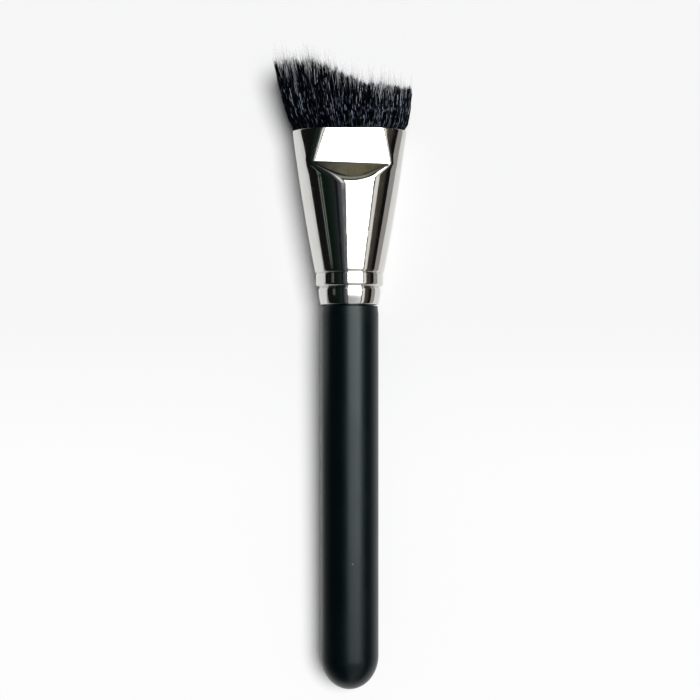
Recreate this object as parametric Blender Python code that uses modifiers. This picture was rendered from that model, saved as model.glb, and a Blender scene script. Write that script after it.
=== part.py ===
"""Sculpting brush: a round handle, a pressed metal ferrule and a curved-cut head of black and white fibres.

The brush is modelled upright along its own axis, with the joint of handle and ferrule at z = 0, the handle
below and the fibre tips on top. It is then laid down on its broad side, with the fibres towards +Y and one
pressed panel facing up. Lengths are in metres.
"""

import math
import random

import bmesh
import bpy
from mathutils import Vector

# Handle
HANDLE_RADIUS = 0.00785
HANDLE_LENGTH = 0.1035
HANDLE_END_DEPTH = 0.0090
HANDLE_NECK_LENGTH = 0.0022
HANDLE_NECK_DROP = 0.0002

# Tenon of the handle, inside the ferrule
GLUE_SPACE = 0.0009
TENON_LENGTH = 0.0140
TENON_CHAMFER = 0.0006
TENON_GROOVES = 2
TENON_GROOVE_WIDTH = 0.0012
TENON_GROOVE_DEPTH = 0.0004

# Round foot of the ferrule: collar, crimp groove, band and ring line, going up from the handle
FERRULE_LENGTH = 0.0468
FERRULE_WALL = 0.0005
COLLAR_LENGTH = 0.0043
COLLAR_SETBACK = 0.00005
COLLAR_FLARE = 0.0006
CRIMP_WIDTH = 0.0006
CRIMP_DEPTH = 0.0003
BAND_LENGTH = 0.0033
BAND_RISE = 0.0007
BAND_ROUNDING = 0.0008
RING_LINE_WIDTH = 0.0005
RING_LINE_DEPTH = 0.0002

# Widening part of the ferrule, from a circle to the flattened mouth
LOFT_RISE = 0.0002
SHOULDER_HEIGHT = 0.0330
SHOULDER_HALF_THICKNESS = 0.01075
MOUTH_HALF_WIDTH = 0.0154
MOUTH_HALF_THICKNESS = 0.0089
WIDTH_BULGE = 0.00035
MOUTH_ROUNDNESS = 2.1

# Flat panel pressed into each broad side at the mouth
PANEL_LENGTH = 0.0097
PRESS_DEPTH = 0.00135
PRESS_SLOPE = math.radians(34)
PRESS_EDGE = 0.0004

# Gaps between pieces that touch on the real brush
FIT_GAP = 0.0003
GLUE_RECESS = 0.0006

# Slices of packed fibre that the strands grow from
SLICE_RECESS = 0.0023
BLACK_SLICE_SHARE = 0.57
EPOXY_PAST_CREASE = 0.0003
WHITE_ROW_THICKNESS = 0.0006
ROW_END_MARGIN = 0.0012
OVERRUN = 0.0003

# Fibres of the head
BLACK_STRAND_RADIUS = 0.00034
WHITE_STRAND_RADIUS = 0.00027
BLACK_STRAND_SPACING = 0.00034
WHITE_STRAND_SPACING = 0.00038
STRAND_MARGIN = 0.00006
STRAND_SINK = 0.0004
LONG_REACH = 0.0186
SHORT_REACH = 0.0119
WHITE_EXTRA_REACH = 0.0063
HEAD_SPREAD = 0.0053
HEAD_LEAN = 0.0009
HEAD_SWELL = 0.0030
TIP_ROUNDING = 0.0026
TIP_SCATTER = 0.0007
CUT_START_SHARE = -0.42
CUT_END_SHARE = 0.36
STRAND_RING_SHARES = (0.0, 0.35, 0.72, 1.0)
STRAND_RADIUS_SHARES = (1.0, 1.25, 1.3, 0.25)
SWELL_TURN_SHARE = 0.62
SEED = 7

# Facets
HANDLE_SIDES = 48
GLUE_SIDES = 32
END_ARC_STEPS = 8
BAND_ARC_STEPS = 3
BROAD_COLUMNS = 9
FLANK_COLUMNS = 9
LOFT_ROWS = 5
PANEL_ROWS = 3
SHARP_ANGLE = math.radians(35)
MERGE_DISTANCE = 0.00001
WELD_DISTANCE = 0.000001

# Radii and half sizes that follow from the sizes above
COLLAR_END_RADIUS = HANDLE_RADIUS - COLLAR_SETBACK
COLLAR_TOP_RADIUS = COLLAR_END_RADIUS + COLLAR_FLARE
BAND_RADIUS = COLLAR_TOP_RADIUS + BAND_RISE
LOFT_RADIUS = BAND_RADIUS + LOFT_RISE
TENON_RADIUS = COLLAR_END_RADIUS - FERRULE_WALL - GLUE_SPACE
PANEL_HALF_THICKNESS = MOUTH_HALF_THICKNESS - PRESS_DEPTH
INSIDE = FERRULE_WALL + FIT_GAP

# Places along the axis that follow from the sizes above
BAND_START = COLLAR_LENGTH + CRIMP_WIDTH
RING_LINE_START = BAND_START + BAND_LENGTH
LOFT_START = RING_LINE_START + RING_LINE_WIDTH
CREASE = FERRULE_LENGTH - PANEL_LENGTH
EPOXY_TOP = CREASE + EPOXY_PAST_CREASE
WHITE_SLICE_FOOT = EPOXY_TOP + FIT_GAP
BLACK_SLICE_TOP = FERRULE_LENGTH - SLICE_RECESS
BLACK_SLICE_FOOT = BLACK_SLICE_TOP - (BLACK_SLICE_TOP - WHITE_SLICE_FOOT) * BLACK_SLICE_SHARE
WHITE_SLICE_TOP = BLACK_SLICE_FOOT - FIT_GAP


def clear_scene():
    """Removes the objects that Blender starts with."""
    for thing in list(bpy.data.objects):
        bpy.data.objects.remove(thing, do_unlink=True)


def new_collection(name):
    collection = bpy.data.collections.new(name)
    bpy.context.scene.collection.children.link(collection)
    return collection


def new_material(name, colour, roughness, metallic=0.0):
    material = bpy.data.materials.new(name)
    material.use_nodes = True
    shader = material.node_tree.nodes["Principled BSDF"]
    shader.inputs["Base Color"].default_value = (*colour, 1.0)
    shader.inputs["Roughness"].default_value = roughness
    shader.inputs["Metallic"].default_value = metallic
    return material


def new_piece(name, mesh, collection, axis, material=None):
    """An object that stands on the brush's axis."""
    piece = bpy.data.objects.new(name, mesh)
    collection.objects.link(piece)
    piece.parent = axis
    if material:
        mesh.materials.append(material)
    return piece


def new_helper(name, mesh, collection, axis):
    """A cutter or a shape that a Boolean joins to a piece, which isn't a piece itself."""
    helper = new_piece(name, mesh, collection, axis)
    helper.hide_render = True
    helper.display_type = "WIRE"
    return helper


def add_boolean(piece, helper, operation):
    modifier = piece.modifiers.new(helper.name, "BOOLEAN")
    modifier.operation = operation
    modifier.solver = "EXACT"
    modifier.object = helper


def smooth(piece):
    """Smooth shading that keeps the sharp edges."""
    piece.data.shade_smooth()
    piece.data.set_sharp_from_angle(angle=SHARP_ANGLE)


def profile_mesh(name, points, closed):
    """A line of (radius, height) points for a Screw modifier, down the outer side."""
    shape = bmesh.new()
    verts = [shape.verts.new((radius, 0.0, height)) for radius, height in points]
    for first, second in zip(verts, verts[1:]):
        shape.edges.new((first, second))
    if closed:
        shape.edges.new((verts[-1], verts[0]))
    mesh = bpy.data.meshes.new(name)
    shape.to_mesh(mesh)
    shape.free()
    return mesh


def turn(piece, sides):
    """Turns a profile about the brush's axis."""
    screw = piece.modifiers.new("turned", "SCREW")
    screw.axis = "Z"
    screw.angle = 2 * math.pi
    screw.steps = sides
    screw.render_steps = sides
    screw.use_merge_vertices = True
    screw.merge_threshold = MERGE_DISTANCE
    screw.use_smooth_shade = True
    # Half a step round, so that a flat facet and not an edge faces down.
    piece.rotation_euler.z = math.pi / sides


def ease(share):
    """Rises smoothly from 0 to 1 while share goes from 0 to 1."""
    share = min(max(share, 0.0), 1.0)
    return share * share * (3 - 2 * share)


def between(first, second, share):
    return first + (second - first) * share


# Handle and glue


def tenon_grooves():
    """Profile points of the glue grooves round the tenon, from the top one down."""
    depth, half = TENON_GROOVE_DEPTH, TENON_GROOVE_WIDTH / 2
    points = []
    for index in range(TENON_GROOVES, 0, -1):
        middle = TENON_LENGTH * index / (TENON_GROOVES + 1)
        points += [
            (TENON_RADIUS, middle + half),
            (TENON_RADIUS - depth, middle + half / 2),
            (TENON_RADIUS - depth, middle - half / 2),
            (TENON_RADIUS, middle - half),
        ]
    return points


def handle_profile():
    straight_end = HANDLE_LENGTH - HANDLE_END_DEPTH
    points = [(0.0, TENON_LENGTH), (TENON_RADIUS - TENON_CHAMFER, TENON_LENGTH)]
    points.append((TENON_RADIUS, TENON_LENGTH - TENON_CHAMFER))
    points += tenon_grooves()
    points.append((TENON_RADIUS, -FIT_GAP))
    points.append((HANDLE_RADIUS - HANDLE_NECK_DROP, -FIT_GAP))
    points.append((HANDLE_RADIUS, -FIT_GAP - HANDLE_NECK_LENGTH))
    for step in range(END_ARC_STEPS):
        angle = math.pi / 2 * step / END_ARC_STEPS
        points.append((HANDLE_RADIUS * math.cos(angle), -straight_end - HANDLE_END_DEPTH * math.sin(angle)))
    points.append((0.0, -HANDLE_LENGTH))
    return points


def foot_profile():
    """Outer (radius, height) points of the ferrule's round foot, from the handle up to the widening part."""
    rise = BAND_RADIUS - COLLAR_TOP_RADIUS
    points = [
        (COLLAR_END_RADIUS, 0.0),
        (COLLAR_TOP_RADIUS, COLLAR_LENGTH),
        (COLLAR_TOP_RADIUS - CRIMP_DEPTH, COLLAR_LENGTH + CRIMP_WIDTH / 2),
    ]
    for step in range(BAND_ARC_STEPS + 1):
        angle = math.pi / 2 * step / BAND_ARC_STEPS
        radius = COLLAR_TOP_RADIUS + rise * math.sin(angle)
        points.append((radius, BAND_START + BAND_ROUNDING * (1 - math.cos(angle))))
    points.append((BAND_RADIUS, RING_LINE_START))
    points.append((BAND_RADIUS - RING_LINE_DEPTH, RING_LINE_START + RING_LINE_WIDTH / 2))
    return points


def glue_profile():
    """A closed outline: down the outside, which the crimp squeezes, and back up along the tenon."""
    crimped = COLLAR_TOP_RADIUS - CRIMP_DEPTH - INSIDE
    band = BAND_RADIUS - RING_LINE_DEPTH - INSIDE
    band_foot = BAND_START + BAND_ROUNDING + INSIDE
    bore = TENON_RADIUS + FIT_GAP
    return [
        (min(section_size(TENON_LENGTH, INSIDE)[:2]), TENON_LENGTH),
        (band, LOFT_START),
        (band, band_foot),
        (crimped, band_foot),
        (crimped, COLLAR_LENGTH),
        (COLLAR_END_RADIUS - INSIDE, GLUE_RECESS),
        (bore, GLUE_RECESS),
        (bore, TENON_LENGTH),
    ]


def make_handle(collection, axis):
    lacquer = new_material("black_lacquer", (0.012, 0.014, 0.015), 0.38)
    mesh = profile_mesh("handle", handle_profile(), closed=False)
    turn(new_piece("handle", mesh, collection, axis, lacquer), HANDLE_SIDES)


def make_glue(collection, axis):
    resin = new_material("clear_glue", (0.62, 0.50, 0.30), 0.35)
    mesh = profile_mesh("handle_glue", glue_profile(), closed=True)
    turn(new_piece("handle_glue", mesh, collection, axis, resin), GLUE_SIDES)


# Sections of the ferrule


def section_size(height, inset):
    """Half width, half thickness and roundness of the ferrule's section, without the pressed panels."""
    share = (height - LOFT_START) / (FERRULE_LENGTH - LOFT_START)
    half_width = between(LOFT_RADIUS, MOUTH_HALF_WIDTH, share) + WIDTH_BULGE * 4 * share * (1 - share)
    if height < SHOULDER_HEIGHT:
        end, end_half_thickness = LOFT_START, LOFT_RADIUS
    else:
        end, end_half_thickness = FERRULE_LENGTH, MOUTH_HALF_THICKNESS
    fall = ((height - SHOULDER_HEIGHT) / (end - SHOULDER_HEIGHT)) ** 2
    half_thickness = between(SHOULDER_HALF_THICKNESS, end_half_thickness, fall)
    return half_width - inset, half_thickness - inset, between(2.0, MOUTH_ROUNDNESS, share)


def other_share(share, roundness):
    """On a unit section, how high the outline is at a share of its half width, or the other way round."""
    return (1 - min(abs(share), 1.0) ** roundness) ** (1 / roundness)


def crease_height(inset):
    """Where the flat panel of an inner or outer wall meets its sloping step."""
    return CREASE - inset * math.tan(PRESS_SLOPE / 2)


def corner_share(height, inset):
    """The flat panel's half width, as a share of the section's; below the crease it keeps its value there."""
    _, half_thickness, roundness = section_size(max(height, crease_height(inset)), inset)
    return other_share((PANEL_HALF_THICKNESS - inset) / half_thickness, roundness)


def unit_section(height, inset):
    """Points (x share, y share, on a broad side) round the section, with columns that meet the panel's edges."""
    roundness = section_size(height, inset)[2]
    corner = corner_share(height, inset)
    turn_angle = math.acos(corner ** (roundness / 2))
    points = []
    for side in (1, -1):
        for column in range(FLANK_COLUMNS):
            angle = turn_angle * (2 * column / FLANK_COLUMNS - 1)
            width_share = math.cos(angle) ** (2 / roundness)
            thickness_share = math.copysign(abs(math.sin(angle)) ** (2 / roundness), angle)
            points.append((side * width_share, side * thickness_share, False))
        for column in range(BROAD_COLUMNS):
            width_share = corner * (1 - 2 * column / BROAD_COLUMNS)
            points.append((side * width_share, side * other_share(width_share, roundness), True))
    return points


def section_ring(height, inset=0.0):
    """The section's points at one height; from the crease up its broad sides are flat."""
    half_width, half_thickness, _ = section_size(height, inset)
    most = half_thickness
    if height >= crease_height(inset):
        most = PANEL_HALF_THICKNESS - inset
    ring = []
    for across, up, _ in unit_section(height, inset):
        y = min(max(half_thickness * up, -most), most)
        ring.append(Vector((half_width * across, y, height)))
    return ring


def step_ring(inset=0.0):
    """The line where the round ferrule turns into the sloping step, which curves down in the middle."""
    crease = crease_height(inset)
    ring = []
    for across, up, broad in unit_section(crease, inset):
        height = crease - PRESS_EDGE
        if broad:
            for _ in range(4):
                rise = section_size(height, inset)[1] * abs(up) - (PANEL_HALF_THICKNESS - inset)
                height = crease - max(rise / math.tan(PRESS_SLOPE), PRESS_EDGE)
        half_width, half_thickness, _ = section_size(height, inset)
        ring.append(Vector((half_width * across, half_thickness * up, height)))
    return ring


def rings_between(foot, top, inset):
    """All the rings of a loft that follows the ferrule's wall, drawn in by inset."""
    crease = crease_height(inset)
    rings = []
    if foot < crease:
        step = step_ring(inset)
        lowest = min(point.z for point in step) - PRESS_EDGE
        rings += [section_ring(between(foot, lowest, row / LOFT_ROWS), inset) for row in range(LOFT_ROWS + 1)]
        rings.append(step)
        foot = crease
    rings += [section_ring(between(foot, top, row / PANEL_ROWS), inset) for row in range(PANEL_ROWS + 1)]
    return rings


def round_ring(radius, height):
    """A ring of the round foot, with its columns in line with those of the widening part."""
    return [
        Vector((across, up, 0.0)).normalized() * radius + Vector((0.0, 0.0, height))
        for across, up, _ in unit_section(LOFT_START, 0.0)
    ]


def loft_mesh(name, rings, capped):
    shape = bmesh.new()
    loops = [[shape.verts.new(point) for point in ring] for ring in rings]
    for lower, upper in zip(loops, loops[1:]):
        for column in range(len(lower)):
            after = (column + 1) % len(lower)
            shape.faces.new((lower[column], lower[after], upper[after], upper[column]))
    if capped:
        shape.faces.new(loops[0][::-1])
        shape.faces.new(loops[-1])
    mesh = bpy.data.meshes.new(name)
    shape.to_mesh(mesh)
    shape.free()
    return mesh


def make_ferrule(collection, axis):
    nickel = new_material("polished_nickel", (0.78, 0.77, 0.75), 0.08, 1.0)
    rings = [round_ring(radius, height) for radius, height in foot_profile()]
    rings += rings_between(LOFT_START, FERRULE_LENGTH, 0.0)
    ferrule = new_piece("ferrule", loft_mesh("ferrule", rings, capped=False), collection, axis, nickel)
    wall = ferrule.modifiers.new("wall", "SOLIDIFY")
    wall.thickness = FERRULE_WALL
    wall.offset = -1
    wall.use_even_offset = True
    smooth(ferrule)


def make_epoxy(collection, axis):
    resin = new_material("amber_epoxy", (0.45, 0.30, 0.12), 0.30)
    rings = rings_between(TENON_LENGTH + FIT_GAP, EPOXY_TOP, INSIDE)
    smooth(new_piece("fibre_epoxy", loft_mesh("fibre_epoxy", rings, capped=True), collection, axis, resin))


# Fibres


def row_half_length(y, margin):
    """How far a row of fibres at y reaches to each side, clear of the wall at the slice and at the mouth."""
    reach = []
    for height in (BLACK_SLICE_TOP, FERRULE_LENGTH):
        half_width, half_thickness, roundness = section_size(height, INSIDE + margin)
        reach.append(half_width * other_share(y / half_thickness, roundness))
    return min(reach)


def white_row_places():
    """The y of each row of white fibres: as many as leave two lines of black ones between them."""
    pitch = 2 * BLACK_STRAND_RADIUS + BLACK_STRAND_SPACING
    nearest = 2 * BLACK_STRAND_RADIUS + STRAND_MARGIN
    line_step = math.sqrt(nearest**2 - (pitch / 2) ** 2)
    least_bar = line_step + 2 * (BLACK_STRAND_RADIUS + STRAND_MARGIN)
    slot = WHITE_ROW_THICKNESS + 2 * FIT_GAP
    room = 2 * (PANEL_HALF_THICKNESS - INSIDE)
    rows = max(1, int((room - least_bar) / (least_bar + slot)))
    step = (room + slot) / (rows + 1)
    return [step * (row - (rows - 1) / 2) for row in range(rows)]


def white_row_half_length(y):
    """How far the bar under a row of white fibres reaches to each side."""
    return row_half_length(abs(y) + WHITE_ROW_THICKNESS, ROW_END_MARGIN)


def black_row_places():
    """The y of each line of black fibres: two lines in each bar that the white rows leave."""
    edge = PANEL_HALF_THICKNESS - INSIDE
    slot = WHITE_ROW_THICKNESS / 2 + FIT_GAP
    whites = white_row_places()
    feet = [-edge] + [y + slot for y in whites]
    tops = [y - slot for y in whites] + [edge]
    inwards = BLACK_STRAND_RADIUS + STRAND_MARGIN
    return [y for foot, top in zip(feet, tops) for y in (foot + inwards, top - inwards)]


def fibre_place(x, y, height):
    """Where a fibre that stands at x, y in the ferrule runs at a height: it spreads, swells and leans."""
    rise = (height - FERRULE_LENGTH) / LONG_REACH
    spread = (ease(rise) + min(max(rise, 0.0), 1.0)) / 2
    swell = math.sin(min(max(rise, 0.0), 1.0) * math.pi * SWELL_TURN_SHARE)
    out_x = x + (x / MOUTH_HALF_WIDTH * HEAD_SPREAD - HEAD_LEAN) * spread
    out_y = y + y / PANEL_HALF_THICKNESS * HEAD_SWELL * swell
    return Vector((out_x, out_y, height))


def cut_reach(x, y):
    """How far the black fibres reach past the mouth: a curved cut, rounded over in thickness."""
    fall = ease((x / MOUTH_HALF_WIDTH - CUT_START_SHARE) / (CUT_END_SHARE - CUT_START_SHARE))
    rounding = TIP_ROUNDING * abs(y / PANEL_HALF_THICKNESS) ** 2
    return between(LONG_REACH, SHORT_REACH, fall) - rounding


def strand_paths(rows, pitch, extra_reach, chance):
    """Points of each strand from inside the slices to the tip; rows are (y, half length) pairs."""
    foot = BLACK_SLICE_TOP - STRAND_SINK
    paths = []
    for index, (y, half_length) in enumerate(rows):
        shift = (index % 2 - 0.5) * pitch / 2
        count = int(2 * (half_length - abs(shift)) / pitch) + 1
        for place in range(count):
            x = (place - (count - 1) / 2) * pitch + shift
            reach = cut_reach(x, y) + extra_reach - TIP_SCATTER * chance.random()
            length = FERRULE_LENGTH + reach - foot
            paths.append([fibre_place(x, y, foot + length * share) for share in STRAND_RING_SHARES])
    return paths


def strand_section(radius, collection, axis):
    """The three-sided section that the strands are drawn with."""
    curve = bpy.data.curves.new("strand_section", "CURVE")
    spline = curve.splines.new("POLY")
    spline.points.add(2)
    spline.use_cyclic_u = True
    for index, point in enumerate(spline.points):
        angle = 2 * math.pi * index / 3
        point.co = (radius * math.cos(angle), radius * math.sin(angle), 0.0, 1.0)
    return new_helper("strand_section", curve, collection, axis)


def strands_mesh(name, paths, radius, helpers, axis):
    """All strands of one kind as tapered three-sided tubes, welded at their ends."""
    curve = bpy.data.curves.new(name, "CURVE")
    curve.dimensions = "3D"
    curve.bevel_mode = "OBJECT"
    curve.bevel_object = strand_section(radius, helpers, axis)
    curve.use_fill_caps = True
    for path in paths:
        spline = curve.splines.new("POLY")
        spline.points.add(len(path) - 1)
        for point, place, share in zip(spline.points, path, STRAND_RADIUS_SHARES):
            point.co = (*place, 1.0)
            point.radius = share
    drawn = new_helper(name, curve, helpers, axis)
    graph = bpy.context.evaluated_depsgraph_get()
    mesh = bpy.data.meshes.new_from_object(drawn.evaluated_get(graph))
    bpy.data.objects.remove(curve.bevel_object, do_unlink=True)
    bpy.data.objects.remove(drawn, do_unlink=True)
    shape = bmesh.new()
    shape.from_mesh(mesh)
    bmesh.ops.remove_doubles(shape, verts=shape.verts, dist=WELD_DISTANCE)
    bmesh.ops.recalc_face_normals(shape, faces=shape.faces)
    shape.to_mesh(mesh)
    shape.free()
    mesh.name = name
    return mesh


def bars_mesh(name, foot, top, widen):
    """Upright bars along the white rows, widened all round for a slot."""
    shape = bmesh.new()
    for y in white_row_places():
        half_length = white_row_half_length(y) + widen
        size = Vector((2 * half_length, WHITE_ROW_THICKNESS + 2 * widen, top - foot))
        cube = bmesh.ops.create_cube(shape, size=1.0)["verts"]
        bmesh.ops.scale(shape, verts=cube, vec=size)
        bmesh.ops.translate(shape, verts=cube, vec=(0.0, y, (foot + top) / 2))
    mesh = bpy.data.meshes.new(name)
    shape.to_mesh(mesh)
    shape.free()
    return mesh


def make_black_fibres(collection, helpers, axis):
    black = new_material("black_fibre", (0.010, 0.011, 0.014), 0.45)
    rings = rings_between(BLACK_SLICE_FOOT, BLACK_SLICE_TOP, INSIDE)
    mesh = loft_mesh("black_fibres", rings, capped=True)
    fibres = new_piece("black_fibres", mesh, collection, axis, black)
    slots = bars_mesh("white_row_slots", BLACK_SLICE_FOOT - OVERRUN, BLACK_SLICE_TOP + OVERRUN, FIT_GAP)
    add_boolean(fibres, new_helper("white_row_slots", slots, helpers, axis), "DIFFERENCE")
    rows = [(y, row_half_length(y, BLACK_STRAND_RADIUS + STRAND_MARGIN)) for y in black_row_places()]
    pitch = 2 * BLACK_STRAND_RADIUS + BLACK_STRAND_SPACING
    paths = strand_paths(rows, pitch, 0.0, random.Random(SEED))
    strands = strands_mesh("black_strands", paths, BLACK_STRAND_RADIUS, helpers, axis)
    add_boolean(fibres, new_helper("black_strands", strands, helpers, axis), "UNION")
    return len(paths)


def make_white_fibres(collection, helpers, axis):
    white = new_material("white_fibre", (0.82, 0.80, 0.74), 0.40)
    rings = rings_between(WHITE_SLICE_FOOT, WHITE_SLICE_TOP, INSIDE)
    mesh = loft_mesh("white_fibres", rings, capped=True)
    fibres = new_piece("white_fibres", mesh, collection, axis, white)
    middle = (WHITE_SLICE_FOOT + WHITE_SLICE_TOP) / 2
    bars = bars_mesh("white_row_bars", middle, BLACK_SLICE_TOP, 0.0)
    add_boolean(fibres, new_helper("white_row_bars", bars, helpers, axis), "UNION")
    inwards = WHITE_STRAND_RADIUS + STRAND_MARGIN
    rows = [(y, white_row_half_length(y) - inwards) for y in white_row_places()]
    pitch = 2 * WHITE_STRAND_RADIUS + WHITE_STRAND_SPACING
    paths = strand_paths(rows, pitch, WHITE_EXTRA_REACH, random.Random(SEED + 1))
    strands = strands_mesh("white_strands", paths, WHITE_STRAND_RADIUS, helpers, axis)
    add_boolean(fibres, new_helper("white_strands", strands, helpers, axis), "UNION")
    return len(paths)


def lay_down(axis, pieces):
    """Turns the axis along +Y and puts the middle of the brush's footprint at the origin, on the ground."""
    axis.rotation_euler.x = -math.pi / 2
    bpy.context.view_layer.update()
    graph = bpy.context.evaluated_depsgraph_get()
    corners = []
    for piece in pieces:
        evaluated = piece.evaluated_get(graph)
        corners += [evaluated.matrix_world @ vertex.co for vertex in evaluated.to_mesh().vertices]
        evaluated.to_mesh_clear()
    lowest = [min(corner[i] for corner in corners) for i in range(3)]
    highest = [max(corner[i] for corner in corners) for i in range(3)]
    axis.location = (-(lowest[0] + highest[0]) / 2, -(lowest[1] + highest[1]) / 2, -lowest[2])
    bpy.context.view_layer.update()


def main():
    clear_scene()
    brush = new_collection("sculpting_brush")
    helpers = new_collection("cutters")
    axis = bpy.data.objects.new("brush_axis", None)
    brush.objects.link(axis)
    make_handle(brush, axis)
    make_glue(brush, axis)
    make_ferrule(brush, axis)
    make_epoxy(brush, axis)
    black_count = make_black_fibres(brush, helpers, axis)
    white_count = make_white_fibres(brush, helpers, axis)
    lay_down(axis, [piece for piece in brush.objects if piece.type == "MESH"])
    print(f"strands: {black_count} black and {white_count} white")
    print("axis at", [round(value, 6) for value in axis.location])


if __name__ == "__main__":
    main()
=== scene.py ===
"""Dresses a sculpting brush: a satin black handle, a polished nickel ferrule and a head of fine fibres.

Run as a script, it loads the brush's frame, makes every piece and the stage, and sets the camera straight
above the brush. Laid out as an add-on, it puts the same steps on a panel in the 3D view's sidebar.
Lengths are in metres: +Y runs along the brush towards the fibre tips and +Z points up out of the pressed
panel. Places along the brush are heights above the joint of handle and ferrule, as if it stood on its handle.
"""

import math
from functools import partial

import bpy
import numpy as np
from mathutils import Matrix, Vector


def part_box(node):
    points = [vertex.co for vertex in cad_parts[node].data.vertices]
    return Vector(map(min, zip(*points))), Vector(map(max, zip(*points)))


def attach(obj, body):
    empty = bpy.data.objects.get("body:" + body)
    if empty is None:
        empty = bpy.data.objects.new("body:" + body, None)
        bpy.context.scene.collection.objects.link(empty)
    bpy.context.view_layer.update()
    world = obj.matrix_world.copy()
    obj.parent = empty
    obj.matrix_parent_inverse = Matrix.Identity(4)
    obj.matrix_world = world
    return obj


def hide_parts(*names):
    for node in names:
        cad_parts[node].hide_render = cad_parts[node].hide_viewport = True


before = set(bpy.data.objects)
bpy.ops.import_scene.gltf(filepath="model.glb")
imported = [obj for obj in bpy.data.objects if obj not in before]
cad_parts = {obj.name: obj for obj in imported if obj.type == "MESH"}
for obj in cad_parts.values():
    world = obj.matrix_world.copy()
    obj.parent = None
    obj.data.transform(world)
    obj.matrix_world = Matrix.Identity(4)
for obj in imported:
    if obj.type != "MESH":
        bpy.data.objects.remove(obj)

bl_info = {
    "name": "Sculpting brush",
    "version": (1, 0, 0),
    "blender": (4, 5, 0),
    "location": "View3D > Sidebar > Brush",
    "description": "Makes a sculpting brush with a lacquered handle, a polished ferrule and a duo-fibre head",
    "category": "Object",
}

BODY = "root"

# The brush's axis, from the frame: across, at the joint, and up
HANDLE_LOW, HANDLE_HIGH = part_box("handle")
FERRULE_LOW, FERRULE_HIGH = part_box("ferrule")
AXIS = Vector(((FERRULE_LOW.x + FERRULE_HIGH.x) / 2, FERRULE_LOW.y, (FERRULE_LOW.z + FERRULE_HIGH.z) / 2))

# Handle, with the tenon and its two glue grooves
HANDLE_RADIUS = (HANDLE_HIGH.x - HANDLE_LOW.x) / 2
HANDLE_LENGTH = AXIS.y - HANDLE_LOW.y
HANDLE_END_DEPTH = 0.0090
POLE_RADIUS = 0.00005
NECK_GAP = 0.0003
NECK_LENGTH = 0.0022
NECK_DROP = 0.0002
NECK_ROUNDING = 0.00025
NECK_CORNER = 0.0001
TENON_RADIUS = 0.0064
TENON_LENGTH = 0.0140
TENON_CHAMFER = 0.0006
GROOVE_SHARES = (2 / 3, 1 / 3)
GROOVE_WIDTH = 0.0012
GROOVE_DEPTH = 0.0004
SHARP_ANGLE = math.radians(50)

# Round foot of the ferrule
WALL = 0.0005
COLLAR_LENGTH = 0.0043
COLLAR_RADIUS = 0.0078
COLLAR_TOP_RADIUS = 0.0084
CRIMP_WIDTH = 0.0006
CRIMP_DEPTH = 0.0003
BAND_START = COLLAR_LENGTH + CRIMP_WIDTH
BAND_LENGTH = 0.0033
BAND_RADIUS = 0.0091
BAND_ROUNDING = 0.0008
RING_LINE_START = BAND_START + BAND_LENGTH
RING_LINE_WIDTH = 0.0005
RING_LINE_DEPTH = 0.0002

# Widening part of the ferrule
FERRULE_LENGTH = FERRULE_HIGH.y - FERRULE_LOW.y
LOFT_START = RING_LINE_START + RING_LINE_WIDTH
LOFT_RADIUS = 0.0093
SHOULDER_HEIGHT = 0.0330
SHOULDER_HALF_THICKNESS = 0.01075
MOUTH_HALF_WIDTH = 0.0154
MOUTH_HALF_THICKNESS = 0.0089
SHOULDER_ROUNDNESS = 2.06
MOUTH_ROUNDNESS = 1.87
MOUTH_FALL = 1.55
WIDTH_BULGE = 0.00035

# Pressed panels at the mouth
CREASE = FERRULE_LENGTH - 0.0094
CREASE_SLANT = 0.040
CREASE_BULGE = 0.30
CREASE_BULGE_LENGTH = 0.0035
PANEL_HALF_THICKNESS = 0.00755
PRESS_SLOPE = math.radians(34)
CREASE_SOFTNESS = 0.00012
CREASE_EDGE_SOFTNESS = 0.00115
MOUTH_EDGE_SOFTNESS = 0.00067
RIDGE_SOFTNESS = 0.00085
RIDGE_FADE = 0.002

# Where the ferrule's facets lie closer together, for the sake of the panels' edges
DENSE_START = 0.0300
DENSE_END = CREASE + 0.0008
FLANK_ANGLE = math.radians(34)
FLANK_SHARE = 0.2

# Fibres
ROOT_HEIGHT = FERRULE_LENGTH - 0.0022
ROOT_JITTER = 0.38
LONG_REACH = 0.0191
MIDDLE_REACH = 0.0126
SHORT_REACH = 0.0107
LONG_SIDE_SPREAD = 0.0060
SHORT_SIDE_SPREAD = 0.0027
MOUTH_BULGE = 0.0004
HEAD_SWELL = 0.0030
SWELL_TURN_SHARE = 0.62
TIP_ROUNDING = 0.0030
TUFT_SQUEEZE = 0.45
TUFT_GAP = 1.3
TUFT_JITTER = 0.4
CUT_START_SHARE = -0.50
CUT_END_SHARE = 0.28
WILD_SHARE = 0.02
WILD_STRAY = 2.5
RING_SHARES = np.array((0.0, 0.16, 0.32, 0.48, 0.63, 0.78, 0.91, 1.0))
RING_RADII = np.array((1.0, 1.0, 1.0, 1.0, 1.0, 0.94, 0.76, 0.15))
STRAND_SIDES = 3
BLACK_SEED = 11
WHITE_SEED = 12
FRINGE_SHARE = 0.4
FRINGE_START = 0.3
FRINGE_ALPHA = 0.12

# The window's pane, in degrees to the right of straight up and towards the fibre tips
PANE_LEFT = -5.3
PANE_RIGHT = 45.0
PANE_TOP = 29.0

# The lamp: how wide it looks, and how far it leans to the right and towards the fibre tips
LAMP_WIDTH = math.radians(34)
LAMP_SIDE = math.radians(13.3)
LAMP_AHEAD = math.radians(5)

# Where the table top, as seen only in reflections, is painted duller far on the left and dark on the left of
# the handle: painted reflections
FAR_LEFT = (-0.06, -0.12)
LEFT_OF_HANDLE = (-0.018, -0.038)
BESIDE_HANDLE = (0.0, -0.02)

# Camera, straight above the middle of the picture
VIEW_HEIGHT = 0.353
VIEW_WIDTH = 0.189
VIEW_SHIFT = (0.000135, -0.01215)
SENSOR_WIDTH = 36.0


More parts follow.
